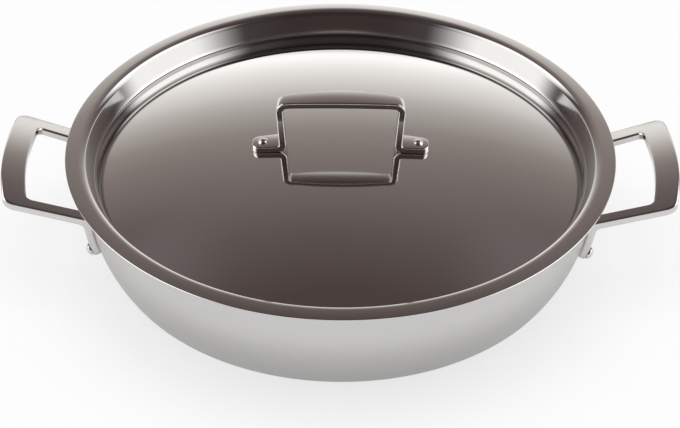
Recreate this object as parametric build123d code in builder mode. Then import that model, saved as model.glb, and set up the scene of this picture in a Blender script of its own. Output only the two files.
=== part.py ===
"""Lidded braiser in three-layer clad steel, 30 cm across the mouth.

Millimetres, +Z up, origin on the pot's axis at the face it stands on, +X out
through the right side handle. The bowl is three bonded plies with a flared lip.
Two cast loop handles hug its wall, each held by two rivets through all three
plies. The lid drops into the pot behind a flat flange, rises in a dome, and
carries a bent strap handle on two rivets.
"""

from build123d import *
from math import asin, atan2, cos, degrees, radians, sin, sqrt, tan
import os

# Pot
pot_height = 69.3
straight_wall = 8.3
bowl_inset = 28.0
heel_radius = 18.0
lip_flare = 8.0
lip_turn = 68.0
outer_ply = 0.5
core_ply = 1.5
inner_ply = 0.4

# Side handles: a conical loop that climbs away from the wall, and a tab under each leg
handle_drop = 21.6
handle_reach = 195.0
handle_half_width = 45.0
handle_thickness = 4.7
handle_tilt = 17.5
grip_width = 13.7
leg_width = 9.0
leg_toe_in = 3.4
loop_corner = 7.0
window_corner = 3.5
tab_length = 25.0
tab_thickness = 4.5
tab_bend = 5.0
tab_end_flat = 0.4
handle_edge_round = 1.2
handle_seat_gap = 0.1

# Side handle rivets
rivet_shank = 2.4
rivet_head = 3.6
rivet_head_height = 2.7
rivet_head_rim = 0.8
rivet_inner_head = 5.5
rivet_inner_height = 1.3
rivet_inner_gap = 0.25
rivet_outer_gap = 0.05
rivet_hole_gap = 0.1

# Lid shell: its radius also sets the pot's mouth, which it overhangs and falls round
lid_radius = 158.0
lid_overhang = 6.0
lid_sheet = 1.0
flange_fall = 10.0
lid_rest_gap = 0.3
lid_wall_gap = 2.1
lid_edge_round = 0.4
shoulder_round = 5.0
recess_lean = 24.0
shelf_depth = 13.0
shelf_width = 1.0
shelf_round = 0.5
recess_depth = 22.4
recess_lower_lean = 7.0
gutter_round = 1.2
crown_rise = 1.6

# Lid handle: one strap, bent into two feet, two legs and an arched grip
lid_handle_height = 34.5
strap_thickness = 3.8
grip_arch = 2.8
grip_half_span = 35.3
foot_half_span = 33.0
foot_reach = 50.6
strap_corner = 4.2
strap_fold = 2.9
grip_middle_width = 14.0
grip_end_width = 9.6
width_blend = 20.0
foot_root_width = 13.6
foot_end_width = 11.4
foot_corner = 4.0
strap_edge_round = 0.8
foot_seat_gap = 0.1

# Lid rivets
lid_rivet_span = 44.2
lid_rivet_shank = 1.9
lid_rivet_head = 2.8
lid_rivet_head_height = 1.6
lid_rivet_head_rim = 0.4
lid_rivet_inner_head = 4.5
lid_rivet_inner_height = 1.0
lid_rivet_gap = 0.1

# One overrun serves every cut and every blank that is trimmed afterwards
overrun = 12.0

# Bowl sizes that follow from those above
wall_thickness = outer_ply + core_ply + inner_ply
wall_radius = lid_radius - lid_overhang - lip_flare * (1 - cos(radians(lip_turn)))
flare_centre_radius = wall_radius + lip_flare
base_radius = wall_radius - bowl_inset
flare_foot_height = pot_height - (lip_flare + wall_thickness) * sin(radians(lip_turn))
wall_foot_height = flare_foot_height - straight_wall
sweep_rise = wall_foot_height - heel_radius
sweep_radius = (sweep_rise**2 + bowl_inset**2 - heel_radius**2) / (2 * (bowl_inset - heel_radius))
sweep_turn = degrees(asin(sweep_rise / (sweep_radius - heel_radius)))
sweep_centre = (wall_radius - sweep_radius, wall_foot_height)
flare_centre = (flare_centre_radius, flare_foot_height)

# Handle sizes that follow from the bowl
handle_root_height = pot_height - handle_drop
tab_foot_height = handle_root_height - tab_length
tab_corner = leg_width / 2 - tab_end_flat
rivet_height = tab_foot_height + leg_width / 2
handle_rise = (handle_reach - wall_radius) * tan(radians(handle_tilt))
grip_inner_radius = handle_reach - grip_width
loop_corner_x = sqrt(handle_reach**2 - handle_half_width**2)
leg_slope = tan(radians(leg_toe_in))

# Lid sizes that follow from the pot
shelf_outer_radius = wall_radius - wall_thickness - lid_wall_gap - lid_sheet
shelf_inner_radius = shelf_outer_radius - shelf_width
shoulder_radius = shelf_outer_radius + shelf_depth * tan(radians(recess_lean))
lip_inner_radius = flare_centre_radius - (lip_flare + wall_thickness) * cos(radians(lip_turn))
flange_slope = tan(radians(flange_fall))
flange_rise = (lip_inner_radius - shoulder_radius) * flange_slope
rim_height = pot_height + flange_rise + (lid_rest_gap + lid_sheet) / cos(radians(flange_fall))
flange_edge_height = rim_height - (lid_radius - shoulder_radius) * flange_slope
lower_wall_depth = recess_depth - shelf_depth
gutter_radius = shelf_inner_radius - lower_wall_depth * tan(radians(recess_lower_lean))
dome_rise = recess_depth + crown_rise
gutter_height = rim_height - recess_depth
crown_height = rim_height + crown_rise
dome_radius = (gutter_radius**2 + dome_rise**2) / (2 * dome_rise)
dome_turn = degrees(asin(gutter_radius / dome_radius))
dome_centre = (0, crown_height - dome_radius)

# Strap sizes that follow from the lid, measured along its middle line
grip_line_height = rim_height + lid_handle_height - strap_thickness / 2
grip_end_height = grip_line_height - grip_arch
grip_arch_radius = (grip_half_span**2 + grip_arch**2) / (2 * grip_arch)
barrel_half_span = grip_half_span - strap_corner - strap_thickness / 2
leg_head_height = grip_end_height - strap_corner - strap_thickness / 2
foot_root_x = foot_half_span + strap_fold + strap_thickness / 2
foot_line_radius = dome_radius + foot_seat_gap + strap_thickness / 2
foot_lean = asin(lid_rivet_span / dome_radius)

sides = {"left": -1, "right": 1}
ends = {"front": -1, "rear": 1}


def bowl_line(depth):
    """Surface of the bowl, a depth under its outside, from the axis to the lip's cut edge."""
    Line((0, depth), (base_radius, depth))
    CenterArc((base_radius, heel_radius), heel_radius - depth, -90, 90 - sweep_turn)
    CenterArc(sweep_centre, sweep_radius - depth, -sweep_turn, sweep_turn)
    Line((wall_radius - depth, wall_foot_height), (wall_radius - depth, flare_foot_height))
    CenterArc(flare_centre, lip_flare + depth, 180 - lip_turn, lip_turn)


def lip_edge(depth):
    """Point on the lip's cut edge, a depth under the bowl's outside."""
    reach = lip_flare + depth
    return (
        flare_centre_radius - reach * cos(radians(lip_turn)),
        flare_foot_height + reach * sin(radians(lip_turn)),
    )


def ply_section(outer_depth, inner_depth):
    """Half section of one layer of the bowl, between two depths."""
    with BuildSketch(Plane.XZ) as section:
        with BuildLine():
            bowl_line(outer_depth)
            bowl_line(inner_depth)
            Line((0, outer_depth), (0, inner_depth))
            Line(lip_edge(outer_depth), lip_edge(inner_depth))
        make_face()
    return section.sketch


def sweep_angle(height, standoff):
    """Angle round the bowl's large curve, a standoff outside it, at a height."""
    return -degrees(asin((wall_foot_height - height) / (sweep_radius + standoff)))


def leg_outer_y(x):
    """Distance of a leg's outer side from the handle's centre line, x out from the axis."""
    return handle_half_width - (loop_corner_x - x) * leg_slope


def wall_rivet_plane(side, end):
    """Plane on the outside of the bowl at one rivet, with its normal straight out."""
    slope = radians(sweep_angle(rivet_height, 0))
    out = sweep_centre[0] + sweep_radius * cos(slope)
    middle_y = leg_outer_y(out) - leg_width / 2
    turn = atan2(end * middle_y, side * sqrt(out**2 - middle_y**2))
    return Plane(
        origin=(out * cos(turn), out * sin(turn), rivet_height),
        z_dir=(cos(slope) * cos(turn), cos(slope) * sin(turn), sin(slope)),
    )


wall_rivet_planes = {
    f"{side}_{end}_rivet": wall_rivet_plane(sides[side], ends[end])
    for side in sides
    for end in ends
}


def drill_wall():
    """Four rivet holes through whichever layer of the wall is being made."""
    with Locations(*wall_rivet_planes.values()):
        Hole(rivet_shank + rivet_hole_gap, depth=overrun)


# The three bonded plies of the bowl
with BuildPart() as pot_outer_ply:
    revolve(ply_section(0, outer_ply), axis=Axis.Z)
    drill_wall()

with BuildPart() as pot_core_ply:
    revolve(ply_section(outer_ply, outer_ply + core_ply), axis=Axis.Z)
    drill_wall()

with BuildPart() as pot_inner_ply:
    revolve(ply_section(outer_ply + core_ply, wall_thickness), axis=Axis.Z)
    drill_wall()


def handle_section():
    """Side view of a side handle: a straight band that climbs outwards, over a tab on the bowl."""
    climb = Vector(cos(radians(handle_tilt)), sin(radians(handle_tilt)))
    through = Vector(climb.Y, -climb.X) * handle_thickness
    root = Vector(wall_radius, handle_root_height)
    inside = root - climb * overrun
    outside = root + climb * (handle_reach - wall_radius + overrun)
    tab_face = sweep_radius + handle_seat_gap
    tab_foot = sweep_angle(tab_foot_height, handle_seat_gap)
    tab_head = sweep_angle(handle_root_height - handle_thickness / 2, handle_seat_gap)
    with BuildSketch(Plane.XZ) as section:
        with BuildLine():
            Polyline(inside, outside, outside + through, inside + through, close=True)
        make_face()
        with BuildLine():
            front = CenterArc(sweep_centre, tab_face, tab_foot, tab_head - tab_foot)
            back = CenterArc(
                sweep_centre, tab_face + tab_thickness, tab_foot, tab_head - tab_foot
            )
            Line(front @ 0, back @ 0)
            Line(front @ 1, back @ 1)
        make_face()
        crook = section.vertices().sort_by_distance(root + through + Vector(tab_thickness, 0))[0]
        fillet(crook, radius=tab_bend)
        with BuildLine():
            bowl_line(-handle_seat_gap)
            lip = lip_edge(-handle_seat_gap)
            Polyline((0, -handle_seat_gap), (0, lip[1]), lip)
        make_face(mode=Mode.SUBTRACT)
    return section.sketch


def loop_outline(outer_radius, side_inset, corner):
    """One outline of the loop from above: an arc round the pot's axis and two sides that toe in."""
    inset = side_inset / cos(radians(leg_toe_in))
    corner_x = sqrt(outer_radius**2 - (handle_half_width - inset) ** 2)
    corner_y = leg_outer_y(corner_x) - inset
    root_y = leg_outer_y(base_radius) - inset
    turn = degrees(atan2(corner_y, corner_x))
    radius = corner_x / cos(radians(turn))
    with BuildSketch() as outline:
        with BuildLine():
            arc = CenterArc((0, 0), radius, -turn, 2 * turn)
            Polyline(arc @ 1, (base_radius, root_y), (base_radius, -root_y), arc @ 0)
        make_face()
        fillet(outline.vertices().sort_by(Axis.X)[-2:], radius=corner)
    return outline.sketch


# One loop handle, made on the right and mirrored to the left
with BuildPart() as right_handle:
    revolve(handle_section(), axis=Axis.Z)
    with BuildSketch():
        add(loop_outline(handle_reach, 0, loop_corner))
        add(loop_outline(grip_inner_radius, leg_width, window_corner), mode=Mode.SUBTRACT)
    extrude(amount=handle_root_height + handle_rise + overrun, mode=Mode.INTERSECT)
    fillet(right_handle.edges().sort_by(Axis.Z).filter_by(GeomType.HYPERBOLA)[:4], tab_corner)
    fillet(right_handle.edges(), radius=handle_edge_round)
    drill_wall()

with BuildPart() as left_handle:
    add(mirror(right_handle.part, about=Plane.YZ, mode=Mode.PRIVATE))


def rivet_section(plane, head, head_height, head_rim, shank, top, bottom, inner_head, inner_height):
    """Half section of a rivet on its own axis: domed head, shank and flat inner head."""
    crown = head_height - head_rim
    crown_radius = (head**2 + crown**2) / (2 * crown)
    section_plane = Plane(origin=plane.origin, x_dir=plane.x_dir, z_dir=-plane.y_dir)
    with BuildSketch(section_plane) as section:
        with BuildLine():
            edge = Polyline(
                (0, bottom - inner_height),
                (inner_head, bottom - inner_height),
                (inner_head, bottom),
                (shank, bottom),
                (shank, top),
                (head, top),
                (head, top + head_rim),
            )
            dome = RadiusArc(edge @ 1, (0, top + head_height), -crown_radius)
            Line(dome @ 1, edge @ 0)
        make_face()
    return section.sketch


def make_wall_rivet(plane):
    """A rivet through a handle's tab and all three plies."""
    with BuildPart() as rivet:
        section = rivet_section(
            plane,
            rivet_head,
            rivet_head_height,
            rivet_head_rim,
            rivet_shank,
            handle_seat_gap + tab_thickness + rivet_outer_gap,
            -wall_thickness - rivet_inner_gap,
            rivet_inner_head,
            rivet_inner_height,
        )
        revolve(section, axis=Axis(plane.origin, plane.z_dir))
    return rivet.part


def lid_rivet_plane(side):
    """Plane on top of the dome under one foot of the strap, with its normal straight out."""
    lean = asin(side * lid_rivet_span / dome_radius)
    height = dome_centre[1] + dome_radius * cos(lean)
    return Plane(
        origin=(side * lid_rivet_span, 0, height),
        x_dir=(cos(lean), 0, -sin(lean)),
        z_dir=(sin(lean), 0, cos(lean)),
    )


lid_rivet_planes = {f"lid_{side}_rivet": lid_rivet_plane(sides[side]) for side in sides}


def drill_lid():
    """Two rivet holes through the dome or the strap's feet."""
    with Locations(*lid_rivet_planes.values()):
        Hole(lid_rivet_shank + lid_rivet_gap, depth=overrun)


def make_lid_rivet(plane):
    """A rivet through a foot of the strap and the lid's sheet."""
    with BuildPart() as rivet:
        section = rivet_section(
            plane,
            lid_rivet_head,
            lid_rivet_head_height,
            lid_rivet_head_rim,
            lid_rivet_shank,
            foot_seat_gap + strap_thickness + lid_rivet_gap,
            -lid_sheet - lid_rivet_gap,
            lid_rivet_inner_head,
            lid_rivet_inner_height,
        )
        revolve(section, axis=Axis(plane.origin, plane.z_dir))
    return rivet.part


# The lid: falling flange, leaning wall, shelf, lower wall, gutter and dome in one drawn sheet
with BuildPart() as lid_shell:
    with BuildSketch(Plane.XZ):
        with BuildLine() as sheet:
            gutter = (gutter_radius, gutter_height)
            FilletPolyline(
                (lid_radius, flange_edge_height),
                (shoulder_radius, rim_height),
                (shelf_outer_radius, rim_height - shelf_depth),
                (shelf_inner_radius, rim_height - shelf_depth),
                gutter,
                radius=(shoulder_round, shelf_round, shelf_round),
            )
            CenterArc(dome_centre, dome_radius, 90 - dome_turn, dome_turn)
            fillet(sheet.vertices().sort_by_distance(gutter)[0], radius=gutter_round)
            offset(amount=lid_sheet, side=Side.LEFT)
        make_face()
    revolve(axis=Axis.Z)
    fillet(lid_shell.edges().sort_by(SortBy.LENGTH)[-2:], radius=lid_edge_round)
    drill_lid()


def foot_line_height(x):
    """Height of the middle line of a foot, which lies straight along the dome at its rivet."""
    return dome_centre[1] + (foot_line_radius - x * sin(foot_lean)) / cos(foot_lean)


def strap_section():
    """Front view of the strap: two feet, two legs that lean in as they go down, arched grip."""
    with BuildSketch(Plane.XZ) as section:
        with BuildLine() as middle:
            corner = (grip_half_span, grip_end_height)
            fold = (foot_half_span, foot_line_height(foot_half_span))
            blank_reach = foot_reach + overrun
            Polyline((blank_reach, foot_line_height(blank_reach)), fold, corner)
            RadiusArc(corner, (0, grip_line_height), -grip_arch_radius)
            fillet(middle.vertices().sort_by_distance(corner)[0], radius=strap_corner)
            fillet(middle.vertices().sort_by_distance(fold)[0], radius=strap_fold)
            mirror(about=Plane.YZ)
        trace(line_width=strap_thickness)
    return section.sketch


def grip_plan():
    """Top view of the grip: a barrel between two straight ends."""
    half_width = grip_end_width / 2
    with BuildSketch(Plane.XY.offset(leg_head_height)) as plan:
        with BuildLine() as outline:
            side = ThreePointArc(
                (-barrel_half_span, half_width),
                (0, grip_middle_width / 2),
                (barrel_half_span, half_width),
            )
            Polyline(side @ 0, (-foot_reach, half_width), (-foot_reach, 0))
            Polyline(side @ 1, (foot_reach, half_width), (foot_reach, 0))
            for end in (side @ 0, side @ 1):
                fillet(outline.vertices().sort_by_distance(end)[0], radius=width_blend)
            mirror(about=Plane.XZ)
        make_face()
    return plan.sketch


def feet_plan():
    """Top view of both feet: widest at the legs, narrower and rounded at their ends."""
    root = (foot_root_x, foot_root_width / 2)
    end = (foot_reach, foot_end_width / 2)
    with BuildSketch() as plan:
        with BuildLine() as outline:
            Polyline((0, foot_root_width / 2), root, end, (foot_reach, 0))
            fillet(outline.vertices().sort_by_distance(root)[0], radius=width_blend)
            mirror(about=Plane.YZ)
            mirror(about=Plane.XZ)
        make_face()
        fillet(plan.vertices().group_by(Axis.X)[0], radius=foot_corner)
        fillet(plan.vertices().group_by(Axis.X)[-1], radius=foot_corner)
    return plan.sketch


def legs_side():
    """Side view of the legs: as wide as the feet at the fold, as narrow as the grip's ends above."""
    fold_height = foot_line_height(foot_half_span)
    leg_foot = (foot_root_width / 2, fold_height + strap_fold + strap_thickness / 2)
    leg_head = (grip_end_width / 2, leg_head_height - strap_thickness / 2)
    grip_underside = grip_end_height - strap_thickness / 2
    with BuildSketch(Plane.YZ) as side:
        with BuildLine() as outline:
            Polyline(
                (0, 0),
                (foot_root_width / 2, 0),
                leg_foot,
                leg_head,
                (grip_end_width / 2, grip_underside),
                (grip_middle_width, grip_underside),
                (grip_middle_width, rim_height + lid_handle_height),
                (0, rim_height + lid_handle_height),
            )
            for end in (leg_foot, leg_head):
                fillet(outline.vertices().sort_by_distance(end)[0], radius=width_blend)
            mirror(about=Plane.YZ)
        make_face()
    return side.sketch


# The strap handle of the lid
with BuildPart() as lid_handle:
    extrude(feet_plan(), amount=leg_head_height)
    extrude(grip_plan(), amount=lid_handle_height)
    extrude(strap_section(), amount=grip_middle_width, both=True, mode=Mode.INTERSECT)
    extrude(legs_side(), amount=foot_reach + overrun, both=True, mode=Mode.INTERSECT)
    fillet(lid_handle.edges(), radius=strap_edge_round)
    drill_lid()

pieces = {
    "pot_outer_ply": pot_outer_ply.part,
    "pot_core_ply": pot_core_ply.part,
    "pot_inner_ply": pot_inner_ply.part,
    "left_handle": left_handle.part,
    "right_handle": right_handle.part,
    "lid_shell": lid_shell.part,
    "lid_handle": lid_handle.part,
}
pieces |= {name: make_wall_rivet(plane) for name, plane in wall_rivet_planes.items()}
pieces |= {name: make_lid_rivet(plane) for name, plane in lid_rivet_planes.items()}

os.makedirs("parts", exist_ok=True)
for name, piece in pieces.items():
    piece.label = name
    export_step(piece, f"parts/{name}.step")
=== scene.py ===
"""Dresses the lidded braiser: satin bowl, polished lid, loop handles, strap and rivets.

Metres, +Z up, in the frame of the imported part. The bowl's plies and the lid are spun
from their half sections, the rivets are spun once and set out on their seats, and the
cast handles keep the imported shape. The stage is a pale floor under soft light.

The polished dome mirrors the open room up to its foot, so the plies and the lid's rim are
left out of mirror rays. That is why the lid's sheet is two pieces, which meet at the gutter.
"""

from math import acos, asin, atan2, cos, degrees, pi, radians, sin, sqrt, tan

import bmesh
import bpy
from mathutils import Matrix, Vector


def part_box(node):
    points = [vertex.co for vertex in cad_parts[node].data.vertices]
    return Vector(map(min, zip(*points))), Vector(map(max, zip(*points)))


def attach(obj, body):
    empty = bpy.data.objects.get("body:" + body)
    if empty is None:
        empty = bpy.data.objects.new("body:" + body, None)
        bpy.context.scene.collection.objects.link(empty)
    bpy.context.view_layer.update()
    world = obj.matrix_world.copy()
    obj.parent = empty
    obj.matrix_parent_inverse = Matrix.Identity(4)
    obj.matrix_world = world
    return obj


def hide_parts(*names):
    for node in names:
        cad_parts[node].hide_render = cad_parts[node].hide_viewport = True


bl_info = {
    "name": "Lidded Braiser",
    "version": (1, 0, 0),
    "blender": (4, 5, 0),
    "location": "View3D > Sidebar > Braiser",
    "description": "Spins, rivets, finishes and lights a lidded braiser round its packed frame",
    "category": "Add Mesh",
}

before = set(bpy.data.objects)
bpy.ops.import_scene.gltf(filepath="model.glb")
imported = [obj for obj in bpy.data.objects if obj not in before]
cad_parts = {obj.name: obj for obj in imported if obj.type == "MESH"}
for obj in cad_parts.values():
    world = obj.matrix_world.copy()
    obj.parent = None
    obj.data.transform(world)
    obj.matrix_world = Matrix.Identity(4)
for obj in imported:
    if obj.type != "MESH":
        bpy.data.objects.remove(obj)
pot_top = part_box("pot_inner_ply")[1]
handle_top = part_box("right_handle")[1]

SIDES = {"left": -1, "right": 1}
ENDS = {"front": -1, "rear": 1}
LATHE_STEPS = 288
RIVET_STEPS = 48
CREASE = 30.0
MERGE_DISTANCE = 1e-7

# Relief of the finishes, in metres
GRAIN_HEIGHT = 0.00002
HAIRLINE_HEIGHT = 0.00001

# What metal mirrors of the room: a tone for each height of the direction that is mirrored
ROOM_TOP = 1.6
ROOM_TONES = (
    (0.00, (1.39, 1.37, 1.36)),
    (0.12, (1.13, 1.10, 1.07)),
    (0.26, (0.86, 0.825, 0.80)),
    (0.33, (0.68, 0.645, 0.61)),
    (0.40, (0.55, 0.515, 0.48)),
    (0.50, (0.39, 0.34, 0.32)),
    (0.60, (0.305, 0.26, 0.245)),
    (0.74, (0.23, 0.19, 0.185)),
    (0.84, (0.16, 0.13, 0.126)),
    (0.94, (0.103, 0.075, 0.071)),
    (1.50, (0.064, 0.048, 0.046)),
)

# How the ceiling comes down: at the sides, less so above a height, and in front
SIDE_DROP = 0.87
SIDE_EASING = 2.5
SIDE_HEIGHT = 0.65
FRONT_DROP = 0.7
FRONT_EDGE = (0.05, -0.35)

# Tall soft lamps at both sides, and their faint spill: where each fades, by direction
LAMP_TONE = (2.2, 2.2, 2.18, 1.0)
LAMP_TILT = 0.55
LAMP_TURN = 0.05
LAMP_SHIFT = 0.085
LAMP_EDGES = {
    "front": (-0.84, -0.42),
    "back": (0.46, 0.15),
    "aside": (0.44, 0.62),
    "top": (0.90, 0.80),
}
SPILL_SHARE = 0.03
SPILL_EDGES = {
    "front": (-1.05, -0.72),
    "back": (0.46, 0.15),
    "aside": (0.2, 0.5),
    "top": (0.92, 0.84),
}

# The floor: paper that also glows, in part for the camera and in part for mirrors; evenly for the
# camera,
# while for mirrors the glow is painted: less near the pot, where the lamp's shadow then shows,
# much less in front (painted shade) and more far off (painted light)
FLOOR_COLOUR = (0.92, 0.92, 0.92, 1.0)
WHITE = (1.0, 1.0, 1.0, 1.0)
SEEN_SHARE = 0.72
MIRRORED_SHARE = 0.3
NEAR_SHARE = 0.2
FAR_SHARE = 0.45
FAR_PAINTED_LIGHT = 0.4
FRONT_PAINTED_SHADE = -0.9
NEAR_EDGE = (0.15, 0.22)
FAR_EDGE = (0.6, 1.6)
FLOOR_FRONT_EDGE = (-0.28, -0.55)
ROOM_LIGHT = 0.6


# Sizes and settings for the sidebar


def length(label, description, default):
    """A length in metres that the sidebar shows."""
    return bpy.props.FloatProperty(
        name=label,
        description=description,
        default=default,
        min=0.0,
        precision=5,
        unit="LENGTH",
        subtype="DISTANCE",
    )


def angle(label, description, default):
    """An angle, given in degrees, that the sidebar shows."""
    return bpy.props.FloatProperty(
        name=label,
        description=description,
        default=radians(default),
        unit="ROTATION",
        subtype="ANGLE",
    )


def colour(label, description, default):
    """A linear colour that the sidebar shows."""
    return bpy.props.FloatVectorProperty(
        name=label,
        description=description,
        default=default,
        size=3,
        min=0.0,
        max=1.0,
        subtype="COLOR",
    )


class BowlSizes(bpy.types.PropertyGroup):
    """Sizes of the three bonded plies of the bowl."""

    height: length("Height", "Height of the lip above the foot", pot_top.z)
    wall_radius: length("Wall radius", "Outside radius of the upright wall", 0.146997)
    lip_flare: length("Lip flare", "Radius on which the lip turns out from the wall", 0.008)
    lip_turn: angle("Lip turn", "How far the lip turns out from upright", 68.0)
    straight_wall: length("Straight wall", "Height of the upright band under the lip", 0.0083)
    inset: length("Base inset", "How far the base lies inside the wall", 0.028)
    heel_radius: length("Heel radius", "Radius of the turn from base to wall", 0.018)
    outer_ply: length("Outer ply", "Thickness of the outer stainless ply", 0.0005)
    core_ply: length("Core ply", "Thickness of the aluminium core", 0.0015)
    inner_ply: length("Inner ply", "Thickness of the inner stainless ply", 0.0004)


class LidSizes(bpy.types.PropertyGroup):
    """Sizes of the lid's drawn sheet."""

    radius: length("Radius", "Radius of the flange", 0.158)
    flange_fall: angle("Flange fall", "How far the flange falls outwards", 10.0)
    sheet: length("Sheet", "Thickness of the sheet", 0.001)
    rest_gap: length("Rest gap", "Clearance between the flange and the lip", 0.0003)
    wall_gap: length("Wall gap", "Clearance between the shelf and the pot's wall", 0.0021)
    edge_round: length("Edge round", "Round on the flange's cut edge", 0.0004)
    shoulder_round: length("Shoulder round", "Round from the flange into the recess", 0.005)
    recess_lean: angle("Recess lean", "Lean of the recess wall above the shelf", 24.0)
    shelf_depth: length("Shelf depth", "Depth of the shelf below the flange", 0.013)
    shelf_width: length("Shelf width", "Width of the narrow shelf", 0.001)
    shelf_round: length("Shelf round", "Round on both sides of the shelf", 0.0005)
    recess_depth: length("Recess depth", "Depth of the gutter below the flange", 0.0224)
    lower_lean: angle("Lower lean", "Lean of the recess wall under the shelf", 7.0)
    gutter_round: length("Gutter round", "Round at the dome's foot", 0.0012)
    crown_rise: length("Crown rise", "Height of the dome's crown above the flange", 0.0016)


class WallRivetSizes(bpy.types.PropertyGroup):
    """Sizes and seats of the four rivets that hold the loop handles."""

    height: length("Height", "Height of the seat on the bowl", 0.0272)
    handle_reach: length("Handle reach", "From the axis to the handle's end", handle_top.x)
    handle_half_width: length("Handle half width", "From the middle to a corner", 0.045)
    toe_in: angle("Toe in", "Lean of the legs towards each other", 3.4)
    leg_width: length("Leg width", "Width of a leg and of its tab", 0.009)
    tab: length("Tab", "From the bowl to the head's seat", 0.00465)
    inner_gap: length("Inner gap", "Clearance under the inner head", 0.00025)
    shank: length("Shank", "Radius of the shank", 0.0024)
    head: length("Head", "Radius of the domed head", 0.0036)
    head_height: length("Head height", "Height of the domed head", 0.0027)
    head_rim: length("Head rim", "Height of the head's upright rim", 0.0008)
    inner_head: length("Inner head", "Radius of the flat inner head", 0.0055)
    inner_height: length("Inner height", "Height of the flat inner head", 0.0013)


class LidRivetSizes(bpy.types.PropertyGroup):
    """Sizes and seats of the two rivets that hold the lid's strap."""

    span: length("Span", "From the axis to a rivet", 0.0442)
    tab: length("Foot", "From the dome to the head's seat", 0.004)
    inner_gap: length("Inner gap", "Clearance under the inner head", 0.0001)
    shank: length("Shank", "Radius of the shank", 0.0019)
    head: length("Head", "Radius of the domed head", 0.0028)
    head_height: length("Head height", "Height of the domed head", 0.0016)
    head_rim: length("Head rim", "Height of the head's upright rim", 0.0004)
    inner_head: length("Inner head", "Radius of the flat inner head", 0.0045)
    inner_height: length("Inner height", "Height of the flat inner head", 0.001)


class StageSettings(bpy.types.PropertyGroup):
    """Camera place, light and floor."""

    camera_distance: length("Camera distance", "From the lens to the lid's rim plane", 1.6)
    camera_height: length("Camera height", "Height of what it circles, above the lip", 0.001)
    camera_rise: angle("Camera rise", "Elevation of the lens seen from the rim", 34.90)
    camera_pitch: angle("Camera pitch", "How far the camera looks down", 36.26)
    camera_roll: angle("Camera roll", "Turn of the frame about the view", 0.45)
    lens: bpy.props.FloatProperty(
        name="Lens",
        description="Focal length on a 36 mm wide sensor",
        default=147.33,
        unit="CAMERA",
    )
    floor_size: length("Floor size", "Side of the square floor", 12.0)
    lamp_size: length("Lamp size", "Side of the overhead lamp", 1.6)
    lamp_height: length("Lamp height", "Height of the overhead lamp", 1.9)
    lamp_power: bpy.props.FloatProperty(
        name="Lamp power",
        description="Power of the overhead lamp",
        default=20.0,
        unit="POWER",
    )


class Finishes(bpy.types.PropertyGroup):
    """Colours of the metals."""

    satin: colour("Satin steel", "Brushed outer wall", (0.62, 0.615, 0.605))
    inner: colour("Inner steel", "Satin inner wall", (0.66, 0.655, 0.645))
    core: colour("Core aluminium", "Cut edge of the core", (0.72, 0.72, 0.73))
    lid: colour("Lid steel", "Polished drawn sheet", (0.67, 0.66, 0.65))
    handle: colour("Handle steel", "Polished castings and strap", (0.66, 0.65, 0.64))
    rivet: colour("Rivet steel", "Polished rivet heads", (0.68, 0.67, 0.66))


# Sections of the spun pieces


def arc_points(centre, radius, start, turn, steps):
    """Points along an arc, angles in degrees, both ends included."""
    angles = [radians(start + turn * step / steps) for step in range(steps + 1)]
    return [(centre[0] + radius * cos(a), centre[1] + radius * sin(a)) for a in angles]


def rounded_path(corners, rounds, steps=10):
    """Straight runs through corners, each inner corner turned on its own radius."""
    points = [corners[0]]
    for before, corner, after, radius in zip(corners, corners[1:], corners[2:], rounds):
        inward = (Vector(before) - Vector(corner)).normalized()
        onward = (Vector(after) - Vector(corner)).normalized()
        half = acos(max(-1.0, min(1.0, inward.dot(onward)))) / 2
        setback = radius / tan(half)
        middle = Vector(corner) + (inward + onward).normalized() * radius / sin(half)
        first = Vector(corner) + inward * setback - middle
        last = Vector(corner) + onward * setback - middle
        start = atan2(first.y, first.x)
        turn = (atan2(last.y, last.x) - start + pi) % (2 * pi) - pi
        points += arc_points(middle, radius, degrees(start), degrees(turn), steps)
    points.append(corners[-1])
    return points


def inset_corners(corners, distance):
    """Corners of the line that runs a distance to the left of straight runs."""
    runs = []
    for start, end in zip(corners, corners[1:]):
        along = (Vector(end) - Vector(start)).normalized()
        aside = Vector((-along.y, along.x)) * distance
        runs.append((Vector(start) + aside, along))
    inside = [tuple(runs[0][0])]
    for (start, along), (other, onward) in zip(runs, runs[1:]):
        cross = along.x * onward.y - along.y * onward.x
        gap = other - start
        reach = (gap.x * onward.y - gap.y * onward.x) / cross
        inside.append(tuple(start + along * reach))
    start, along = runs[-1]
    length_of_last = (Vector(corners[-1]) - Vector(corners[-2])).length
    inside.append(tuple(start + along * length_of_last))
    return inside


class BowlShape:
    """Sizes of the bowl that follow from those in the sidebar."""

    def __init__(self, bowl):
        self.thickness = bowl.outer_ply + bowl.core_ply + bowl.inner_ply
        self.wall = bowl.wall_radius
        self.base = self.wall - bowl.inset
        self.heel = bowl.heel_radius
        self.flare = bowl.lip_flare
        self.lip_turn = bowl.lip_turn
        flare_foot = bowl.height - (self.flare + self.thickness) * sin(self.lip_turn)
        self.wall_foot = flare_foot - bowl.straight_wall
        self.flare_centre = (self.wall + self.flare, flare_foot)
        rise = self.wall_foot - self.heel
        self.sweep = (rise**2 + bowl.inset**2 - self.heel**2) / (2 * (bowl.inset - self.heel))
        self.sweep_turn = degrees(asin(rise / (self.sweep - self.heel)))
        self.sweep_centre = (self.wall - self.sweep, self.wall_foot)

    def line(self, depth):
        """Surface of the bowl, a depth under its outside, from the axis to the lip's edge."""
        heel_centre = (self.base, self.heel)
        points = [(0.0, depth), (self.base * 0.5, depth)]
        points += arc_points(heel_centre, self.heel - depth, -90, 90 - self.sweep_turn, 24)
        points += arc_points(
            self.sweep_centre, self.sweep - depth, -self.sweep_turn, self.sweep_turn, 28
        )[1:]
        points += arc_points(
            self.flare_centre, self.flare + depth, 180, -degrees(self.lip_turn), 14
        )
        return points

    def ply(self, outer_depth, inner_depth):
        """Half section of one ply, axis to axis."""
        return self.line(outer_depth) + self.line(inner_depth)[::-1]


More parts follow.
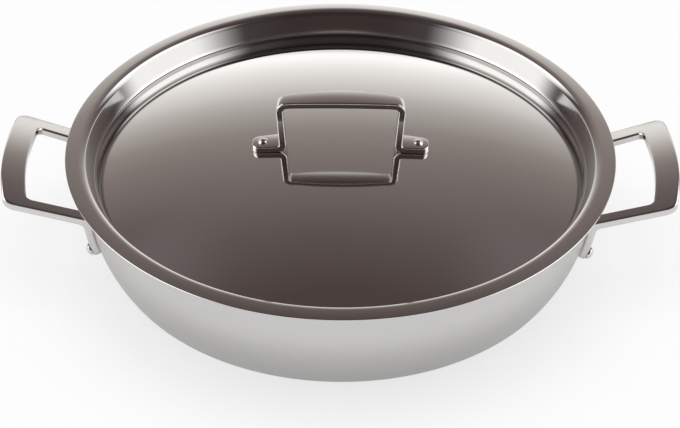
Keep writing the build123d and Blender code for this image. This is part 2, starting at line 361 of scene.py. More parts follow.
class LidShape:
    """Sizes of the lid that follow from the pot and from those in the sidebar."""

    def __init__(self, lid, bowl):
        self.sheet = lid.sheet
        self.edge_round = lid.edge_round
        shelf_outer = bowl.wall - bowl.thickness - lid.wall_gap - lid.sheet
        shelf_inner = shelf_outer - lid.shelf_width
        shoulder = shelf_outer + lid.shelf_depth * tan(lid.recess_lean)
        lip = bowl.flare_centre[0] - (bowl.flare + bowl.thickness) * cos(bowl.lip_turn)
        lip_height = bowl.flare_centre[1] + (bowl.flare + bowl.thickness) * sin(bowl.lip_turn)
        fall = tan(lid.flange_fall)
        rim = lip_height + (lip - shoulder) * fall
        rim += (lid.rest_gap + lid.sheet) / cos(lid.flange_fall)
        gutter = shelf_inner - (lid.recess_depth - lid.shelf_depth) * tan(lid.lower_lean)
        rise = lid.recess_depth + lid.crown_rise
        self.dome = (gutter**2 + rise**2) / (2 * rise)
        self.dome_centre = (0.0, rim + lid.crown_rise - self.dome)
        slope = asin(gutter / self.dome)
        run = lid.gutter_round * 2
        self.dome_turn = degrees(slope - run / self.dome)
        self.corners = [
            (lid.radius, rim - (lid.radius - shoulder) * fall),
            (shoulder, rim),
            (shelf_outer, rim - lid.shelf_depth),
            (shelf_inner, rim - lid.shelf_depth),
            (gutter, rim - lid.recess_depth),
            (gutter - run * cos(slope), rim - lid.recess_depth + run * sin(slope)),
        ]
        self.rounds = (lid.shoulder_round, lid.shelf_round, lid.shelf_round, lid.gutter_round)

    def sections(self):
        """Section of the rim down to the gutter, and of gutter and dome up to the axis."""
        shoulder, shelf_head, shelf_foot, gutter = self.rounds
        under_rounds = (
            shoulder - self.sheet,
            shelf_head + self.sheet,
            self.edge_round,
            gutter + self.sheet,
        )
        top = rounded_path(self.corners, self.rounds)
        under = rounded_path(inset_corners(self.corners, self.sheet), under_rounds)
        corners = [top[1], top[0], under[0], under[1]]
        edge = rounded_path(corners, (self.edge_round, self.edge_round), 6)
        foot = len(top) - 12
        rim = top[foot:0:-1] + edge[1:-1] + under[1 : foot + 1] + [top[foot]]
        turn = self.dome_turn
        over = arc_points(self.dome_centre, self.dome, 90, -turn, 72)
        inside = arc_points(self.dome_centre, self.dome - self.sheet, 90 - turn, turn, 72)
        disc = over[:-1] + top[: foot - 1 : -1] + under[foot:] + inside[1:]
        return {"lid_rim": rim, "lid_dome": disc}


def rivet_profile(rivet, grip):
    """Half section of a rivet: domed head, shank and flat inner head, seat at zero."""
    crown = rivet.head_height - rivet.head_rim
    radius = (rivet.head**2 + crown**2) / (2 * crown)
    turn = degrees(asin(rivet.head / radius))
    bottom = -grip - rivet.inner_height
    points = arc_points((0.0, rivet.head_height - radius), radius, 90, -turn, 16)
    points += [(rivet.head, 0.0), (rivet.shank, 0.0), (rivet.shank, -grip)]
    points += [(rivet.inner_head, -grip), (rivet.inner_head, bottom), (0.0, bottom)]
    return points


# Geometry trees


def wire_mesh(name, profile):
    """A mesh of one open line, its points in order in the XZ plane."""
    mesh = bpy.data.meshes.new(name)
    edges = [(index, index + 1) for index in range(len(profile) - 1)]
    mesh.from_pydata([(x, 0.0, z) for x, z in profile], edges, [])
    return mesh


def feed(tree, value, socket):
    """Links a socket to another, or sets it to a plain value."""
    if isinstance(value, bpy.types.NodeSocket):
        tree.links.new(value, socket)
    else:
        socket.default_value = value


def calculate(tree, operation, *values):
    """One Math node; returns its result."""
    node = tree.nodes.new("ShaderNodeMath")
    node.operation = operation
    for value, socket in zip(values, node.inputs):
        feed(tree, value, socket)
    return node.outputs[0]


def lathe_tree():
    """Geometry tree that spins a profile round Z, from the axis back to the axis."""
    tree = bpy.data.node_groups.new("Spin profile", "GeometryNodeTree")
    face = tree.interface
    face.new_socket("Profile", in_out="INPUT", socket_type="NodeSocketGeometry")
    segments = face.new_socket("Segments", in_out="INPUT", socket_type="NodeSocketInt")
    segments.default_value = LATHE_STEPS
    face.new_socket("Material", in_out="INPUT", socket_type="NodeSocketMaterial")
    face.new_socket("Spun", in_out="OUTPUT", socket_type="NodeSocketGeometry")
    given = tree.nodes.new("NodeGroupInput").outputs
    result = tree.nodes.new("NodeGroupOutput").inputs

    count = tree.nodes.new("GeometryNodeAttributeDomainSize")
    tree.links.new(given["Profile"], count.inputs["Geometry"])
    points = count.outputs["Point Count"]
    grid = tree.nodes.new("GeometryNodeMeshGrid")
    feed(tree, calculate(tree, "ADD", given["Segments"], 1.0), grid.inputs["Vertices X"])
    feed(tree, points, grid.inputs["Vertices Y"])

    index = tree.nodes.new("GeometryNodeInputIndex").outputs[0]
    row = calculate(tree, "FLOOR", calculate(tree, "DIVIDE", index, points))
    column = calculate(tree, "MODULO", index, points)
    turn = calculate(tree, "DIVIDE", calculate(tree, "MULTIPLY", row, 2 * pi), given["Segments"])

    sample = tree.nodes.new("GeometryNodeSampleIndex")
    sample.data_type = "FLOAT_VECTOR"
    sample.domain = "POINT"
    tree.links.new(given["Profile"], sample.inputs["Geometry"])
    place = tree.nodes.new("GeometryNodeInputPosition").outputs[0]
    tree.links.new(place, sample.inputs["Value"])
    tree.links.new(column, sample.inputs["Index"])
    rotate = tree.nodes.new("ShaderNodeVectorRotate")
    rotate.rotation_type = "Z_AXIS"
    tree.links.new(sample.outputs[0], rotate.inputs["Vector"])
    tree.links.new(turn, rotate.inputs["Angle"])

    move = tree.nodes.new("GeometryNodeSetPosition")
    tree.links.new(grid.outputs["Mesh"], move.inputs["Geometry"])
    tree.links.new(rotate.outputs[0], move.inputs["Position"])
    merge = tree.nodes.new("GeometryNodeMergeByDistance")
    merge.inputs["Distance"].default_value = MERGE_DISTANCE
    tree.links.new(move.outputs[0], merge.inputs["Geometry"])
    smooth = tree.nodes.new("GeometryNodeSetShadeSmooth")
    tree.links.new(merge.outputs[0], smooth.inputs["Geometry"])
    real = tree.nodes.new("GeometryNodeRealizeInstances")
    tree.links.new(smooth.outputs[0], real.inputs["Geometry"])
    coat = tree.nodes.new("GeometryNodeSetMaterial")
    tree.links.new(real.outputs[0], coat.inputs["Geometry"])
    tree.links.new(given["Material"], coat.inputs["Material"])
    tree.links.new(coat.outputs[0], result["Spun"])
    return tree


def rivet_tree(spin):
    """Geometry tree that spins one rivet and sets it on every seat, along the seat's outward."""
    tree = bpy.data.node_groups.new("Set rivets", "GeometryNodeTree")
    face = tree.interface
    face.new_socket("Seats", in_out="INPUT", socket_type="NodeSocketGeometry")
    face.new_socket("Rivet profile", in_out="INPUT", socket_type="NodeSocketObject")
    segments = face.new_socket("Segments", in_out="INPUT", socket_type="NodeSocketInt")
    segments.default_value = RIVET_STEPS
    face.new_socket("Material", in_out="INPUT", socket_type="NodeSocketMaterial")
    face.new_socket("Rivets", in_out="OUTPUT", socket_type="NodeSocketGeometry")
    given = tree.nodes.new("NodeGroupInput").outputs
    result = tree.nodes.new("NodeGroupOutput").inputs

    info = tree.nodes.new("GeometryNodeObjectInfo")
    tree.links.new(given["Rivet profile"], info.inputs["Object"])
    spun = tree.nodes.new("GeometryNodeGroup")
    spun.node_tree = spin
    tree.links.new(info.outputs["Geometry"], spun.inputs["Profile"])
    tree.links.new(given["Segments"], spun.inputs["Segments"])
    tree.links.new(given["Material"], spun.inputs["Material"])

    outward = tree.nodes.new("GeometryNodeInputNamedAttribute")
    outward.data_type = "FLOAT_VECTOR"
    outward.inputs["Name"].default_value = "outward"
    align = tree.nodes.new("FunctionNodeAlignRotationToVector")
    align.axis = "Z"
    tree.links.new(outward.outputs["Attribute"], align.inputs["Vector"])
    spread = tree.nodes.new("GeometryNodeInstanceOnPoints")
    tree.links.new(given["Seats"], spread.inputs["Points"])
    tree.links.new(spun.outputs[0], spread.inputs["Instance"])
    tree.links.new(align.outputs[0], spread.inputs["Rotation"])
    real = tree.nodes.new("GeometryNodeRealizeInstances")
    tree.links.new(spread.outputs[0], real.inputs["Geometry"])
    coat = tree.nodes.new("GeometryNodeSetMaterial")
    tree.links.new(real.outputs[0], coat.inputs["Geometry"])
    tree.links.new(given["Material"], coat.inputs["Material"])
    tree.links.new(coat.outputs[0], result["Rivets"])
    return tree


def tree_once(name, build, *needs):
    """The named node tree, built the first time it is asked for."""
    return bpy.data.node_groups.get(name) or build(*needs)


def socket_key(tree, name):
    """Identifier of a tree's input, by the name it shows."""
    return next(
        item.identifier
        for item in tree.interface.items_tree
        if item.item_type == "SOCKET" and item.in_out == "INPUT" and item.name == name
    )


def finished(name, mesh, tree, settings, material):
    """Runs a tree on a mesh and keeps the result as a plain object with crisp creases."""
    source = bpy.data.objects.new(name + "_source", mesh)
    bpy.context.collection.objects.link(source)
    modifier = source.modifiers.new(tree.name, "NODES")
    modifier.node_group = tree
    for label, value in settings.items():
        modifier[socket_key(tree, label)] = value
    modifier[socket_key(tree, "Material")] = material
    source.update_tag()
    evaluated = source.evaluated_get(bpy.context.evaluated_depsgraph_get())
    plain = bpy.data.meshes.new_from_object(evaluated)
    bpy.data.objects.remove(source)
    if not plain.polygons:
        raise RuntimeError(f"{name}: the tree made no faces")
    work = bmesh.new()
    work.from_mesh(plain)
    bmesh.ops.recalc_face_normals(work, faces=work.faces)
    work.to_mesh(plain)
    work.free()
    plain.shade_smooth()
    plain.set_sharp_from_angle(angle=radians(CREASE))
    plain.name = name
    piece = bpy.data.objects.new(name, plain)
    bpy.context.collection.objects.link(piece)
    return piece


# Shader groups


def shader_group(name, values, output):
    """A new group with its inputs' first values; returns it, its inputs and its one output."""
    tree = bpy.data.node_groups.new(name, "ShaderNodeTree")
    for label, value in values.items():
        socket = tree.interface.new_socket(label, in_out="INPUT", socket_type="NodeSocketFloat")
        socket.default_value = value
    tree.interface.new_socket(output, in_out="OUTPUT", socket_type="NodeSocketFloat")
    given = tree.nodes.new("NodeGroupInput").outputs
    result = tree.nodes.new("NodeGroupOutput").inputs
    return tree, given, result[output]


def split(tree, vector):
    """The three parts of a vector."""
    node = tree.nodes.new("ShaderNodeSeparateXYZ")
    tree.links.new(vector, node.inputs[0])
    return node.outputs


def place(tree):
    """The shaded point in the object's own coordinates."""
    return tree.nodes.new("ShaderNodeTexCoord").outputs["Object"]


def reach(tree, first, second):
    """Length of the line that two sides at a right angle span."""
    square = calculate(tree, "MULTIPLY", second, second)
    return calculate(tree, "SQRT", calculate(tree, "MULTIPLY_ADD", first, first, square))


def noise(tree, vector, scale, detail, roughness=0.5):
    """One noise texture; returns its value."""
    node = tree.nodes.new("ShaderNodeTexNoise")
    node.inputs["Detail"].default_value = detail
    node.inputs["Roughness"].default_value = roughness
    feed(tree, scale, node.inputs["Scale"])
    tree.links.new(vector, node.inputs["Vector"])
    return node.outputs["Fac"]


def ease(tree, value, start, end):
    """Goes smoothly from zero at the start to one at the end."""
    node = tree.nodes.new("ShaderNodeMapRange")
    node.interpolation_type = "SMOOTHSTEP"
    feed(tree, start, node.inputs["From Min"])
    feed(tree, end, node.inputs["From Max"])
    tree.links.new(value, node.inputs["Value"])
    return node.outputs["Result"]


def grain_group():
    """Shader group: fine grain that runs round the axis, as a turned or spun finish leaves it."""
    tree, given, grain = shader_group("Ring grain", {"Rings": 1500.0, "Streaks": 6.0}, "Grain")
    x, y, z = split(tree, place(tree))
    radius = reach(tree, x, y)
    across = calculate(tree, "MULTIPLY", calculate(tree, "ADD", radius, z), given["Rings"])
    together = tree.nodes.new("ShaderNodeCombineXYZ")
    for axis, value in zip("XY", (x, y)):
        around = calculate(tree, "DIVIDE", value, radius)
        feed(tree, calculate(tree, "MULTIPLY", around, given["Streaks"]), together.inputs[axis])
    tree.links.new(across, together.inputs["Z"])
    tree.links.new(noise(tree, together.outputs[0], 1.0, 3.0, 0.65), grain)
    return tree


def scratch_group():
    """Shader group: faint crossed hairlines of a polished surface that has been wiped."""
    tree, given, hairlines = shader_group("Hairlines", {"Density": 90.0}, "Hairlines")
    point = place(tree)
    layers = []
    for turn in (0.4, 1.9):
        lay = tree.nodes.new("ShaderNodeMapping")
        lay.inputs["Rotation"].default_value = (0.3, 0.2, turn)
        lay.inputs["Scale"].default_value = (1.0, 24.0, 8.0)
        tree.links.new(point, lay.inputs["Vector"])
        layers.append(noise(tree, lay.outputs[0], given["Density"], 2.0))
    tree.links.new(calculate(tree, "MULTIPLY", *layers), hairlines)
    return tree


def haze_group():
    """Shader group: slow cloudy change of the finish, as handling and washing leave it."""
    tree, given, haze = shader_group("Haze", {"Scale": 14.0}, "Haze")
    tree.links.new(noise(tree, place(tree), given["Scale"], 4.0), haze)
    return tree


def painted_corner_shade_group():
    """Shader group: the unshaded share for painted shade in a corner that runs round the axis, zero
    in the corner's core and one beyond its reach.
    """
    sizes = {"Radius": 0.1, "Height": 0.0, "Core": 0.001, "Reach": 0.002}
    # Painted shade: the output is one away from the corner and falls to zero in its core.
    tree, given, unshaded_share = shader_group("Painted corner shade", sizes, "Polish")
    x, y, z = split(tree, place(tree))
    out = calculate(tree, "SUBTRACT", reach(tree, x, y), given["Radius"])
    up = calculate(tree, "SUBTRACT", z, given["Height"])
    away = reach(tree, out, up)
    tree.links.new(ease(tree, away, given["Core"], given["Reach"]), unshaded_share)
    return tree


def crown_group():
    """Shader group: height of a surface that crowns from front to back."""
    tree, given, height = shader_group("Crown", {"Bend": 1.0}, "Height")
    y = split(tree, place(tree))["Y"]
    fall = calculate(tree, "MULTIPLY", calculate(tree, "MULTIPLY", y, y), given["Bend"])
    tree.links.new(calculate(tree, "MULTIPLY", fall, -1.0), height)
    return tree


def add_group(tree, name, build, **values):
    """Puts a shared effect in a material with the material's own values."""
    node = tree.nodes.new("ShaderNodeGroup")
    node.node_tree = tree_once(name, build)
    for label, value in values.items():
        node.inputs[label].default_value = value
    return node.outputs[0]


# Finishes


def remap(tree, value, low, high):
    """Stretches a mask from zero and one to low and high."""
    node = tree.nodes.new("ShaderNodeMapRange")
    node.inputs["From Min"].default_value = 0.25
    node.inputs["From Max"].default_value = 0.75
    node.inputs["To Min"].default_value = low
    node.inputs["To Max"].default_value = high
    tree.links.new(value, node.inputs["Value"])
    return node.outputs["Result"]


def mixed(tree, factor, low, high):
    """A colour between two by a factor, each of the three a socket or a plain value."""
    node = tree.nodes.new("ShaderNodeMix")
    node.data_type = "RGBA"
    for label, value in {"Factor": factor, "A": low, "B": high}.items():
        feed(tree, value, node.inputs[label])
    return node.outputs["Result"]


def darker(base, part):
    """A colour times a part, ready for a socket."""
    return (*[channel * part for channel in base], 1.0)


def bumped(tree, height, strength, distance, under=None):
    """A normal from a height mask, on top of another normal if one is given."""
    node = tree.nodes.new("ShaderNodeBump")
    node.inputs["Strength"].default_value = strength
    node.inputs["Distance"].default_value = distance
    tree.links.new(height, node.inputs["Height"])
    if under:
        tree.links.new(under, node.inputs["Normal"])
    return node.outputs["Normal"]


def metal(name):
    """A new fully metallic material; returns it, its tree and its shader's inputs."""
    material = bpy.data.materials.new(name)
    material.use_nodes = True
    shader = material.node_tree.nodes["Principled BSDF"]
    shader.inputs["Metallic"].default_value = 1.0
    return material, material.node_tree, shader.inputs


def brushed_metal(name, base, roughness, rings, depth):
    """Satin metal brushed round the axis: grain in its colour, gloss and relief."""
    material, tree, inputs = metal(name)
    grain = add_group(tree, "Ring grain", grain_group, Rings=rings, Streaks=5.0)
    haze = add_group(tree, "Haze", haze_group, Scale=18.0)
    tone = mixed(tree, remap(tree, grain, 0.0, 1.0), darker(base, 0.95), darker(base, 1.0))
    feed(tree, tone, inputs["Base Color"])
    rough = calculate(
        tree,
        "ADD",
        remap(tree, grain, roughness - 0.03, roughness + 0.03),
        remap(tree, haze, -0.02, 0.02),
    )
    feed(tree, rough, inputs["Roughness"])
    feed(tree, bumped(tree, grain, depth, GRAIN_HEIGHT), inputs["Normal"])
    inputs["Anisotropic"].default_value = 0.4
    tangent = tree.nodes.new("ShaderNodeTangent")
    tangent.direction_type = "RADIAL"
    tangent.axis = "Z"
    feed(tree, tangent.outputs[0], inputs["Tangent"])
    return material


def polished_metal(name, base, roughness, ringed=False, corners=(), bend=None):
    """Bright polished metal with hairlines and a slow haze, a trace of rings on spun sheet,
    painted shade darkening its colour in given corners, and crowned where a casting or strap is."""
    material, tree, inputs = metal(name)
    lines = add_group(tree, "Hairlines", scratch_group, Density=90.0)
    haze = add_group(tree, "Haze", haze_group, Scale=16.0)
    tone = mixed(tree, remap(tree, haze, 0.0, 1.0), darker(base, 0.97), darker(base, 1.0))
    # Painted shade: in each corner the colour falls to the given part of itself.
    for painted_shade_factor, corner in corners:
        unshaded_share = add_group(tree, "Painted corner shade", painted_corner_shade_group, **corner)
        tone = mixed(tree, unshaded_share, darker(base, painted_shade_factor), tone)
    feed(tree, tone, inputs["Base Color"])
    rough = calculate(
        tree,
        "ADD",
        remap(tree, lines, roughness * 0.9, roughness * 1.25),
        remap(tree, haze, -0.01, 0.01),
    )
    feed(tree, rough, inputs["Roughness"])
    relief = lines
    if ringed:
        relief = add_group(tree, "Ring grain", grain_group, Rings=900.0, Streaks=3.0)
    normal = bumped(tree, relief, 0.05, HAIRLINE_HEIGHT)
    if bend:
        crown = add_group(tree, "Crown", crown_group, Bend=bend)
        normal = bumped(tree, crown, 1.0, 1.0, normal)
    feed(tree, normal, inputs["Normal"])
    return material


def satin_steel(tones):
    """The outer wall: fine satin, brushed round the axis."""
    return brushed_metal("satin_steel", tones.satin, 0.30, 1500.0, 0.25)


def core_aluminium(tones):
    """The core's turned edge."""
    return brushed_metal("core_aluminium", tones.core, 0.38, 4000.0, 0.15)


def inner_steel(tones):
    """The inner wall: satin, brushed round the axis."""
    return brushed_metal("inner_steel", tones.inner, 0.26, 1800.0, 0.2)


def lid_steel(tones, shape):
    """The lid's polished sheet, with a trace of its turning and painted shade in its inner corners.
    """
    shoulder, shelf, gutter = shape.corners[1], shape.corners[3], shape.corners[4]
    wall = ((shoulder[0] + shelf[0]) / 2, (shoulder[1] + shelf[1]) / 2)
    # Painted shade on the recess wall, at the shelf and in the gutter: the part of the colour kept,
    # and where.
    corners = (
        (0.6, {"Radius": wall[0], "Height": wall[1], "Core": 0.0045, "Reach": 0.0075}),
        (0.5, {"Radius": shelf[0], "Height": shelf[1] - 0.001, "Core": 0.0008, "Reach": 0.002}),
        (0.45, {"Radius": gutter[0], "Height": gutter[1] + 0.001, "Core": 0.0016, "Reach": 0.0032}),
    )
    return polished_metal("lid_steel", tones.lid, 0.07, True, corners)


def handle_steel(tones):
    """The polished castings, which crown slowly from corner to corner."""
    return polished_metal("handle_steel", tones.handle, 0.14, bend=4.0)


def strap_steel(tones):
    """The polished strap, crowned across its width."""
    return polished_metal("strap_steel", tones.handle, 0.14, bend=16.0)


def rivet_steel(tones):
    """The polished rivet heads."""
    made = bpy.data.materials.get("rivet_steel")
    return made or polished_metal("rivet_steel", tones.rivet, 0.12)


# Room


def soft_lamp(tree, along, sideways, up, edges):
    """Strength of a tall lamp at each side, by where it fades."""
    lamp = ease(tree, along, *edges["front"])
    for value, edge in ((along, "back"), (sideways, "aside"), (up, "top")):
        lamp = calculate(tree, "MULTIPLY", lamp, ease(tree, value, *edges[edge]))
    return lamp


def room_tone(tree):
    """What metal mirrors, by direction: a bright sweep behind, a tall soft lamp at each side,
    and a dark brown ceiling that comes down in front."""
    x, y, z = split(tree, tree.nodes.new("ShaderNodeTexCoord").outputs["Generated"])
    high = calculate(tree, "MAXIMUM", calculate(tree, "SUBTRACT", z, SIDE_HEIGHT), 0.0)
    drop = calculate(tree, "MULTIPLY_ADD", high, -SIDE_EASING, SIDE_DROP)
    height = calculate(tree, "MULTIPLY_ADD", calculate(tree, "MULTIPLY", x, x), drop, z)
    facing = ease(tree, y, *FRONT_EDGE)
    height = calculate(tree, "MULTIPLY_ADD", facing, FRONT_DROP, height)

    ramp = tree.nodes.new("ShaderNodeValToRGB")
    while len(ramp.color_ramp.elements) < len(ROOM_TONES):
        ramp.color_ramp.elements.new(0.5)
    for element, (level, tone) in zip(ramp.color_ramp.elements, ROOM_TONES):
        element.position = level / ROOM_TOP
        element.color = (*tone, 1.0)
    feed(tree, calculate(tree, "DIVIDE", height, ROOM_TOP), ramp.inputs["Fac"])

    shift = calculate(tree, "MULTIPLY_ADD", x, -LAMP_TURN, LAMP_SHIFT)
    along = calculate(tree, "ADD", calculate(tree, "MULTIPLY_ADD", z, -LAMP_TILT, y), shift)
    sideways = calculate(tree, "ABSOLUTE", x)
    lamp = soft_lamp(tree, along, sideways, z, LAMP_EDGES)
    spill = soft_lamp(tree, along, sideways, z, SPILL_EDGES)
    spill = calculate(tree, "MULTIPLY", spill, SPILL_SHARE)
    lamp = calculate(tree, "MAXIMUM", lamp, spill)
    return mixed(tree, lamp, ramp.outputs["Color"], LAMP_TONE)


# Steps


def replace_with(piece, node, body):
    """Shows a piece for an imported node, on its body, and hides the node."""
    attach(piece, body)
    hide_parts(node)


class BRAISER_OT_bowl(bpy.types.Operator):
    """Spin the three plies of the bowl and finish each one."""

    bl_idname = "braiser.bowl"
    bl_label = "Spin Bowl"

    def execute(self, context):
        bowl = context.scene.braiser_bowl
        shape = BowlShape(bowl)
        tones = context.scene.braiser_finishes
        spin = tree_once("Spin profile", lathe_tree)
        core_start = bowl.outer_ply
        inner_start = core_start + bowl.core_ply
        plies = {
            "pot_outer_ply": (0.0, core_start, "satin_steel", satin_steel(tones)),
            "pot_core_ply": (core_start, inner_start, "core_aluminium", core_aluminium(tones)),
            "pot_inner_ply": (inner_start, shape.thickness, "inner_steel", inner_steel(tones)),
        }
        for node, (outer, inner, slot, material) in plies.items():
            mesh = wire_mesh(node, shape.ply(outer, inner))
            piece = finished(node + "_spun", mesh, spin, {"Segments": LATHE_STEPS}, material)
            replace_with(piece, node, "pot")
            piece.visible_glossy = False
        return {"FINISHED"}


class BRAISER_OT_lid(bpy.types.Operator):
    """Spin the lid's sheet and polish it."""

    bl_idname = "braiser.lid"
    bl_label = "Spin Lid"

    def execute(self, context):
        scene = context.scene
        spin = tree_once("Spin profile", lathe_tree)
        shape = LidShape(scene.braiser_lid, BowlShape(scene.braiser_bowl))
        material = lid_steel(scene.braiser_finishes, shape)
        for name, section in shape.sections().items():
            mesh = wire_mesh(name, section)
            piece = finished(name + "_spun", mesh, spin, {"Segments": LATHE_STEPS}, material)
            replace_with(piece, "lid_shell", "lid")
            piece.visible_glossy = name == "lid_dome"
        return {"FINISHED"}


class BRAISER_OT_handles(bpy.types.Operator):
    """Polish the two cast loop handles and the lid's strap."""

    bl_idname = "braiser.handles"
    bl_label = "Polish Handles"

    def execute(self, context):
        tones = context.scene.braiser_finishes
        cast, strap = handle_steel(tones), strap_steel(tones)
        finishes = {"left_handle": cast, "right_handle": cast, "lid_handle": strap}
        for node, material in finishes.items():
            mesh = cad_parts[node].data
            mesh.materials.clear()
            mesh.materials.append(material)
        return {"FINISHED"}


def set_rivets(sizes, grip, seats, body, material):
    """Spins one kind of rivet and sets it on its seats, one piece for each packed rivet."""
    spin = tree_once("Spin profile", lathe_tree)
    tree = tree_once("Set rivets", rivet_tree, spin)
    profile = bpy.data.objects.new("rivet_line", wire_mesh("rivet", rivet_profile(sizes, grip)))
    bpy.context.collection.objects.link(profile)
    for node, (place, outward) in seats.items():
        mesh = bpy.data.meshes.new(node)
        mesh.from_pydata([place], [], [])
        lean = mesh.attributes.new("outward", "FLOAT_VECTOR", "POINT")
        lean.data[0].vector = outward
        settings = {"Rivet profile": profile, "Segments": RIVET_STEPS}
        piece = finished(node + "_set", mesh, tree, settings, material)
        replace_with(piece, node, body)
    bpy.data.objects.remove(profile)


class BRAISER_OT_wall_rivets(bpy.types.Operator):
    """Set the four rivets that hold the loop handles."""

    bl_idname = "braiser.wall_rivets"
    bl_label = "Set Wall Rivets"

    def execute(self, context):
        scene = context.scene
        sizes = scene.braiser_wall_rivets
        shape = BowlShape(scene.braiser_bowl)
        slope = -asin((shape.wall_foot - sizes.height) / shape.sweep)
        out = shape.sweep_centre[0] + shape.sweep * cos(slope)
        corner = sqrt(sizes.handle_reach**2 - sizes.handle_half_width**2)
        aside = sizes.handle_half_width - (corner - out) * tan(sizes.toe_in) - sizes.leg_width / 2
        seats = {}
        for side in SIDES:
            for end in ENDS:
                turn = atan2(ENDS[end] * aside, SIDES[side] * sqrt(out**2 - aside**2))
                outward = Vector((cos(slope) * cos(turn), cos(slope) * sin(turn), sin(slope)))
                foot = Vector((out * cos(turn), out * sin(turn), sizes.height))
                seats[f"{side}_{end}_rivet"] = (foot + outward * sizes.tab, outward)
        grip = sizes.tab + shape.thickness + sizes.inner_gap
        set_rivets(sizes, grip, seats, "pot", rivet_steel(scene.braiser_finishes))
        return {"FINISHED"}


class BRAISER_OT_lid_rivets(bpy.types.Operator):
    """Set the two rivets that hold the lid's strap."""

    bl_idname = "braiser.lid_rivets"
    bl_label = "Set Lid Rivets"

    def execute(self, context):
        scene = context.scene
        sizes = scene.braiser_lid_rivets
        shape = LidShape(scene.braiser_lid, BowlShape(scene.braiser_bowl))
        seats = {}
        for side in SIDES:
            lean = asin(SIDES[side] * sizes.span / shape.dome)
            outward = Vector((sin(lean), 0.0, cos(lean)))
            middle = Vector((0.0, 0.0, shape.dome_centre[1]))
            seats[f"lid_{side}_rivet"] = (middle + outward * (shape.dome + sizes.tab), outward)
        grip = sizes.tab + shape.sheet + sizes.inner_gap
        set_rivets(sizes, grip, seats, "lid", rivet_steel(scene.braiser_finishes))
        return {"FINISHED"}


def blend(tree, factor, first, second, output):
    """Mixes two shaders by a factor into the tree's output."""
    mix = tree.nodes.new("ShaderNodeMixShader")
    feed(tree, factor, mix.inputs[0])
    for shader, socket in zip((first, second), mix.inputs[1:]):
        tree.links.new(shader.outputs[0], socket)
    end = tree.nodes.new(output)
    tree.links.new(mix.outputs[0], end.inputs["Surface"])


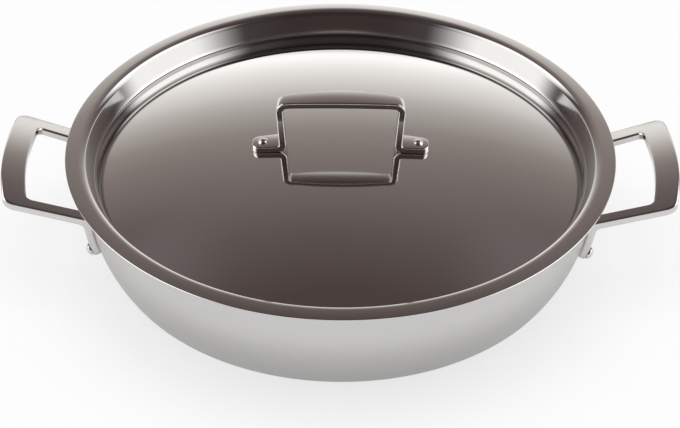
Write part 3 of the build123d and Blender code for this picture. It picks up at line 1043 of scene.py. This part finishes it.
class BRAISER_OT_stage(bpy.types.Operator):
    """Lay the floor, hang the lamp, set the room's light and place the camera."""

    bl_idname = "braiser.stage"
    bl_label = "Set Stage"

    def execute(self, context):
        settings = context.scene.braiser_stage
        self.lay_floor(settings)
        self.hang_lamp(settings)
        self.light_room(context.scene)
        self.place_camera(context.scene, settings)
        context.scene.view_settings.view_transform = "Standard"
        return {"FINISHED"}

    def lay_floor(self, settings):
        half = settings.floor_size / 2
        mesh = bpy.data.meshes.new("floor")
        corners = [(-half, -half, 0.0), (half, -half, 0.0), (half, half, 0.0), (-half, half, 0.0)]
        mesh.from_pydata(corners, [], [(0, 1, 2, 3)])
        floor = bpy.data.objects.new("floor", mesh)
        bpy.context.collection.objects.link(floor)
        material = bpy.data.materials.new("pale_floor")
        material.use_nodes = True
        tree = material.node_tree
        tree.nodes.clear()
        paper = tree.nodes.new("ShaderNodeBsdfDiffuse")
        paper.inputs["Color"].default_value = FLOOR_COLOUR
        glow = tree.nodes.new("ShaderNodeEmission")
        glow.inputs["Color"].default_value = WHITE
        x, y, z = split(tree, place(tree))
        away = reach(tree, x, y)
        near, far = ease(tree, away, *NEAR_EDGE), ease(tree, away, *FAR_EDGE)
        front = ease(tree, y, *FLOOR_FRONT_EDGE)
        rays = tree.nodes.new("ShaderNodeLightPath").outputs
        # For mirrors the glow's share is painted: lower near the pot, where the lamp's shadow
        # shows, higher far off.
        mirrored = calculate(tree, "MULTIPLY_ADD", near, NEAR_SHARE, MIRRORED_SHARE)
        mirrored = calculate(tree, "MULTIPLY_ADD", far, FAR_SHARE, mirrored)
        mirrored = calculate(tree, "MULTIPLY", rays["Is Glossy Ray"], mirrored)
        seen = calculate(tree, "MULTIPLY_ADD", rays["Is Camera Ray"], SEEN_SHARE, mirrored)
        # For mirrors the glow's strength is painted: more far off (painted light), much less in
        # front (painted shade).
        gain = calculate(tree, "MULTIPLY", far, FAR_PAINTED_LIGHT)
        gain = calculate(tree, "MULTIPLY_ADD", front, FRONT_PAINTED_SHADE, gain)
        gain = calculate(tree, "MULTIPLY_ADD", rays["Is Glossy Ray"], gain, 1.0)
        feed(tree, gain, glow.inputs["Strength"])
        blend(tree, seen, paper, glow, "ShaderNodeOutputMaterial")
        mesh.materials.append(material)

    def hang_lamp(self, settings):
        light = bpy.data.lights.new("overhead", "AREA")
        light.shape = "SQUARE"
        light.size = settings.lamp_size
        light.energy = settings.lamp_power
        lamp = bpy.data.objects.new("overhead", light)
        lamp.location = (0.0, 0.0, settings.lamp_height)
        lamp.visible_glossy = False
        bpy.context.collection.objects.link(lamp)

    def light_room(self, scene):
        world = bpy.data.worlds.new("room")
        world.use_nodes = True
        scene.world = world
        tree = world.node_tree
        tree.nodes.clear()
        mirrored = tree.nodes.new("ShaderNodeBackground")
        feed(tree, room_tone(tree), mirrored.inputs["Color"])
        plain = tree.nodes.new("ShaderNodeBackground")
        plain.inputs["Color"].default_value = WHITE
        rays = tree.nodes.new("ShaderNodeLightPath").outputs
        white = calculate(tree, "MULTIPLY_ADD", rays["Is Camera Ray"], 1.0 - ROOM_LIGHT, ROOM_LIGHT)
        feed(tree, white, plain.inputs["Strength"])
        blend(tree, rays["Is Glossy Ray"], plain, mirrored, "ShaderNodeOutputWorld")

    def place_camera(self, scene, settings):
        data = bpy.data.cameras.new("photo_view")
        data.sensor_width = 36.0
        data.lens = settings.lens
        camera = bpy.data.objects.new("photo_view", data)
        back = Vector((0.0, -cos(settings.camera_rise), sin(settings.camera_rise)))
        target = Vector((0.0, 0.0, pot_top.z + settings.camera_height))
        camera.location = target + back * settings.camera_distance
        pitch = Matrix.Rotation(pi / 2 - settings.camera_pitch, 4, "X")
        roll = Matrix.Rotation(settings.camera_roll, 4, "Z")
        camera.rotation_euler = (pitch @ roll).to_euler()
        scene.collection.objects.link(camera)
        scene.camera = camera


# Sidebar and registration


class BRAISER_PT_sidebar(bpy.types.Panel):
    """Lists the braiser's steps and their sizes."""

    bl_idname = "BRAISER_PT_sidebar"
    bl_label = "Lidded Braiser"
    bl_space_type = "VIEW_3D"
    bl_region_type = "UI"
    bl_category = "Braiser"

    def draw(self, context):
        for step in STEPS:
            self.layout.operator(step.bl_idname)


GROUPS = {
    "braiser_bowl": BowlSizes,
    "braiser_lid": LidSizes,
    "braiser_wall_rivets": WallRivetSizes,
    "braiser_lid_rivets": LidRivetSizes,
    "braiser_stage": StageSettings,
    "braiser_finishes": Finishes,
}
STEPS = (
    BRAISER_OT_bowl,
    BRAISER_OT_lid,
    BRAISER_OT_handles,
    BRAISER_OT_wall_rivets,
    BRAISER_OT_lid_rivets,
    BRAISER_OT_stage,
)


def register():
    """Registers the sizes, the steps and the sidebar."""
    for name, group in GROUPS.items():
        bpy.utils.register_class(group)
        setattr(bpy.types.Scene, name, bpy.props.PointerProperty(type=group))
    for step in STEPS:
        bpy.utils.register_class(step)
    bpy.utils.register_class(BRAISER_PT_sidebar)


def unregister():
    """Takes everything back out."""
    bpy.utils.unregister_class(BRAISER_PT_sidebar)
    for step in reversed(STEPS):
        bpy.utils.unregister_class(step)
    for name, group in reversed(GROUPS.items()):
        delattr(bpy.types.Scene, name)
        bpy.utils.unregister_class(group)


def main():
    """Runs every step in order."""
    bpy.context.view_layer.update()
    register()
    bpy.ops.braiser.bowl()
    bpy.ops.braiser.lid()
    bpy.ops.braiser.handles()
    bpy.ops.braiser.wall_rivets()
    bpy.ops.braiser.lid_rivets()
    bpy.ops.braiser.stage()


if __name__ == "__main__":
    main()
